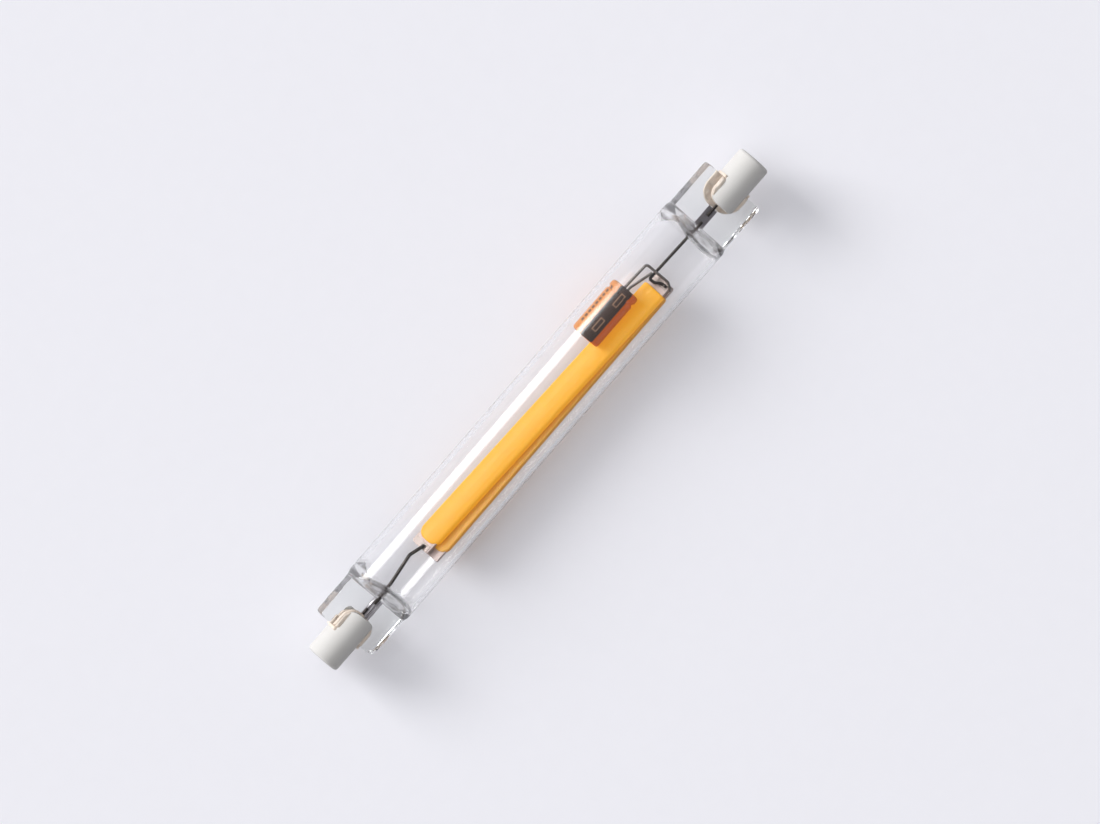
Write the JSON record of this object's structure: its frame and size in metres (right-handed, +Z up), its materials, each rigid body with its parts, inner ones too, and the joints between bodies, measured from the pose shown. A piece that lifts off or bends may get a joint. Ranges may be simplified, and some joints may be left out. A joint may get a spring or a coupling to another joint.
{
  "type": "linear led bulb",
  "caption": "Double-ended linear LED bulb: clear glass tube with pressed ends, slotted ceramic caps with recessed contacts, phosphor-coated LED strips and a small capacitor inside.",
  "frame": {"origin": "on the tube's axis, half-way between the two cap rims", "axes": "+X along the tube towards the capacitor end, +Z up out of the side that the picture shows, +Y across the tube"},
  "size_m": [0.1176, 0.0136, 0.0136],
  "materials": {
    "glass": "clear, fire-polished",
    "cap_ceramic": "unglazed, matte",
    "cement": "matte, fine-grained",
    "contact_metal": "nickel plated",
    "molybdenum": "rolled foil and wire",
    "lead_wire": "drawn wire",
    "plate_ceramic": "fired, matte",
    "die": "polished crystal",
    "phosphor": "cast silicone, glossy",
    "pad_metal": "fired silver",
    "solder": "soldered",
    "can_aluminium": "drawn",
    "sleeve": "shrunk film",
    "bung_rubber": "moulded"
  },
  "bodies": {
    "root": {"glass_envelope": "glass", "end_cap_left": "cap_ceramic", "end_cap_right": "cap_ceramic", "cement_left": "cement", "cement_right": "cement", "contact_left": "contact_metal", "contact_right": "contact_metal", "outer_lead_left": "molybdenum", "outer_lead_right": "molybdenum", "foil_left": "molybdenum", "foil_right": "molybdenum", "inner_lead_left": "lead_wire", "inner_lead_right": "lead_wire", "front_substrate": "plate_ceramic", "back_substrate": "plate_ceramic", "front_chips": "die", "back_chips": "die", "front_coat": "phosphor", "back_coat": "phosphor", "front_pads": "pad_metal", "back_pads": "pad_metal", "strip_joint_left": "solder", "strip_joint_right": "solder", "capacitor_can": "can_aluminium", "capacitor_sleeve": "sleeve", "capacitor_bung": "bung_rubber", "capacitor_lead_long": "lead_wire", "capacitor_lead_short": "lead_wire"}
  },
  "joints": []
}
